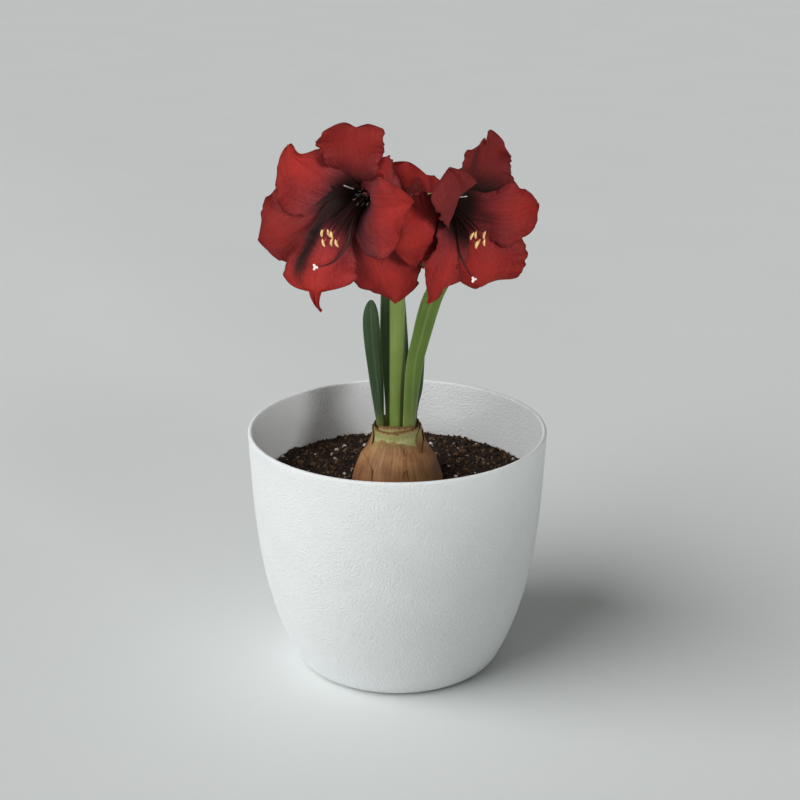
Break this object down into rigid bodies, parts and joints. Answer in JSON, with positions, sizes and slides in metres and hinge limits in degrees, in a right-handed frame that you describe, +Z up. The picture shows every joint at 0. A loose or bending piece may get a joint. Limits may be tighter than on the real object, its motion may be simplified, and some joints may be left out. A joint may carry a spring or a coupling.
{
  "type": "amaryllis in a pot",
  "caption": "Flowering amaryllis with velvety dark red trumpet blooms and strap leaves on a bulb, in a plain white tapering pot that stands on its flat base.",
  "frame": {"origin": "centre of the pot's flat underside, on the surface that it stands on", "axes": "+Z up along the pot's and the scape's axis, -Y towards the front, +X to the viewer's right"},
  "size_m": [0.27, 0.27, 0.5099],
  "materials": {
    "pot": "matte white, very fine leathery grain, softly rounded thin lip",
    "soil": "dark crumbly potting soil with fibres and a few pale grains",
    "bulb": "dry papery brown tunic, split and flaking, over a paler shoulder",
    "leaf_left": "dark green strap leaf, waxy, fine parallel veins",
    "leaf_back": "dark green strap leaf, waxy, fine parallel veins",
    "leaf_right": "mid green strap leaf, waxy, paler margin",
    "leaf_right_back": "dark green strap leaf, waxy",
    "scape": "light green smooth stalk with a faint grey bloom",
    "spathe_left": "dry papery bract, brown with a green foot",
    "spathe_right": "dry papery bract, brown with a green foot",
    "perianth_a": "velvety dark red, magenta sheen towards a black-maroon throat, fine veins",
    "perianth_b": "velvety dark red, magenta sheen towards a black-maroon throat, fine veins",
    "perianth_c": "velvety dark red, black-maroon throat, fine veins",
    "stamens_a": "red filaments and style, pale yellow anthers, white stigma",
    "stamens_b": "red filaments and style, pale yellow anthers, white stigma",
    "stamens_c": "red filaments and style, pale yellow anthers, white stigma"
  },
  "bodies": {
    "root": {"pot": "pot", "soil": "soil", "bulb": "bulb", "leaf_left": "leaf_left", "leaf_back": "leaf_back", "leaf_right": "leaf_right", "leaf_right_back": "leaf_right_back", "scape": "scape", "spathe_left": "spathe_left", "spathe_right": "spathe_right", "perianth_a": "perianth_a", "perianth_b": "perianth_b", "perianth_c": "perianth_c", "stamens_a": "stamens_a", "stamens_b": "stamens_b", "stamens_c": "stamens_c"}
  },
  "joints": []
}
